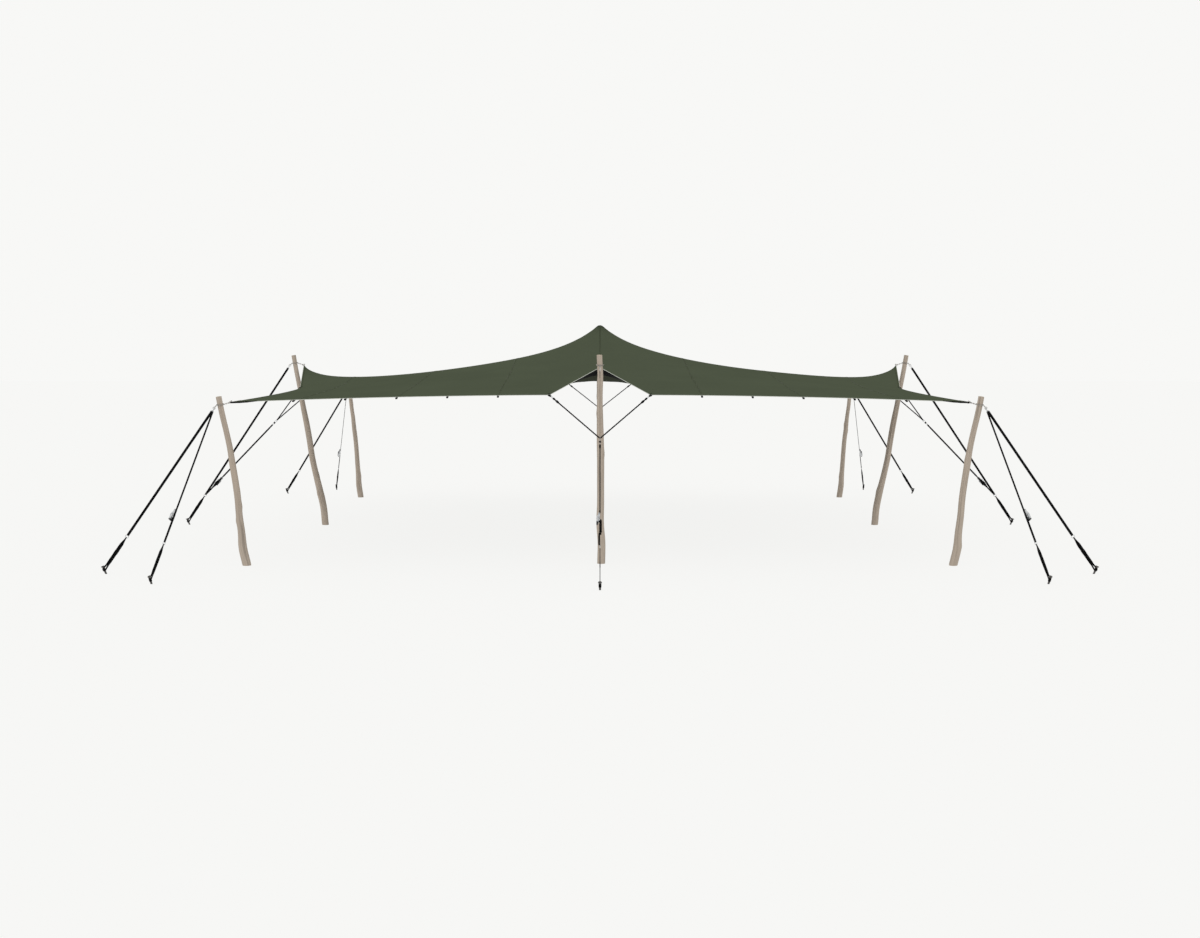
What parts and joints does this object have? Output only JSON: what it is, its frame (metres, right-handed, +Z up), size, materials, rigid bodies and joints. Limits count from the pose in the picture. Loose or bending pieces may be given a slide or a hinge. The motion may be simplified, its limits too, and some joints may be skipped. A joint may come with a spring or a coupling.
{
  "type": "stretch tent",
  "caption": "Open-sided stretch tent: one tensioned fabric canopy on a centre pole and leaning wooden side and corner poles, held by webbing stays, bridles, ratchets and ground stakes.",
  "frame": {"origin": "on the ground under the centre of the tent, at the foot of the centre pole", "axes": "+Z up; -Y is the front seen in the picture, +X its right; the sides run along X and Y"},
  "size_m": [14.7562, 14.7562, 3.5393],
  "materials": {
    "canopy": "matt coated stretch fabric",
    "wood": "bare peeled trunk",
    "webbing": "woven polyester webbing",
    "rope": "braided rope and webbing",
    "steel": "galvanised"
  },
  "bodies": {
    "root": {"bridle_back": "rope", "bridle_front": "rope", "bridle_left": "rope", "bridle_right": "rope", "canopy_left": "canopy", "canopy_middle_left": "canopy", "canopy_middle_right": "canopy", "canopy_right": "canopy", "centre_pole": "wood", "centre_pole_head": "wood", "chain_back": "steel", "chain_back_left": "steel", "chain_back_right": "steel", "chain_front": "steel", "chain_front_left": "steel", "chain_front_right": "steel", "chain_left": "steel", "chain_right": "steel", "pole_back": "wood", "pole_back_left": "wood", "pole_back_right": "wood", "pole_front": "wood", "pole_front_left": "wood", "pole_front_right": "wood", "pole_left": "wood", "pole_right": "wood", "stake_back": "steel", "stake_back_left_end": "steel", "stake_back_left_side": "steel", "stake_back_right_end": "steel", "stake_back_right_side": "steel", "stake_front": "steel", "stake_front_left_end": "steel", "stake_front_left_side": "steel", "stake_front_right_end": "steel", "stake_front_right_side": "steel", "stake_left": "steel", "stake_right": "steel", "stay_back": "webbing", "stay_back_left_end": "webbing", "stay_back_left_side": "webbing", "stay_back_right_end": "webbing", "stay_back_right_side": "webbing", "stay_front": "webbing", "stay_front_left_end": "webbing", "stay_front_left_side": "webbing", "stay_front_right_end": "webbing", "stay_front_right_side": "webbing", "stay_left": "webbing", "stay_right": "webbing"},
    "ratchet_handle_front_left_end": {"ratchet_handle_front_left_end": "steel"},
    "ratchet_handle_front_right_end": {"ratchet_handle_front_right_end": "steel"},
    "ratchet_handle_back_left_end": {"ratchet_handle_back_left_end": "steel"},
    "ratchet_handle_back_right_end": {"ratchet_handle_back_right_end": "steel"},
    "ratchet_handle_right": {"ratchet_handle_right": "steel"},
    "ratchet_handle_back": {"ratchet_handle_back": "steel"},
    "ratchet_handle_left": {"ratchet_handle_left": "steel"},
    "ratchet_handle_front": {"ratchet_handle_front": "steel"}
  },
  "joints": [
    {"name": "ratchet_handle_front_left_end_hinge", "type": "hinge", "parent": "root", "child": "ratchet_handle_front_left_end", "pos_m": [-5.75253, -6.30495, 0.86399], "axis": [0.2782, 0.777, -0.5647], "range_deg": [0, 155]},
    {"name": "ratchet_handle_front_right_end_hinge", "type": "hinge", "parent": "root", "child": "ratchet_handle_front_right_end", "pos_m": [5.75253, -6.30495, 0.86399], "axis": [0.2782, -0.777, 0.5647], "range_deg": [0, 155]},
    {"name": "ratchet_handle_back_left_end_hinge", "type": "hinge", "parent": "root", "child": "ratchet_handle_back_left_end", "pos_m": [-5.75253, 6.30495, 0.86399], "axis": [-0.2782, 0.777, 0.5647], "range_deg": [0, 155]},
    {"name": "ratchet_handle_back_right_end_hinge", "type": "hinge", "parent": "root", "child": "ratchet_handle_back_right_end", "pos_m": [5.75253, 6.30495, 0.86399], "axis": [-0.2782, -0.777, -0.5647], "range_deg": [0, 155]},
    {"name": "ratchet_handle_right_hinge", "type": "hinge", "parent": "root", "child": "ratchet_handle_right", "pos_m": [6.77441, 0.022, 0.78077], "axis": [0.7169, 0, 0.6971], "range_deg": [0, 155]},
    {"name": "ratchet_handle_back_hinge", "type": "hinge", "parent": "root", "child": "ratchet_handle_back", "pos_m": [0.022, 6.7002, 0.85709], "axis": [0, -0.7169, -0.6971], "range_deg": [0, 155]},
    {"name": "ratchet_handle_left_hinge", "type": "hinge", "parent": "root", "child": "ratchet_handle_left", "pos_m": [-6.77441, 0.022, 0.78077], "axis": [0.7169, 0, -0.6971], "range_deg": [0, 155]},
    {"name": "ratchet_handle_front_hinge", "type": "hinge", "parent": "root", "child": "ratchet_handle_front", "pos_m": [-0.022, -6.7002, 0.85709], "axis": [0, 0.7169, -0.6971], "range_deg": [0, 155]}
  ]
}
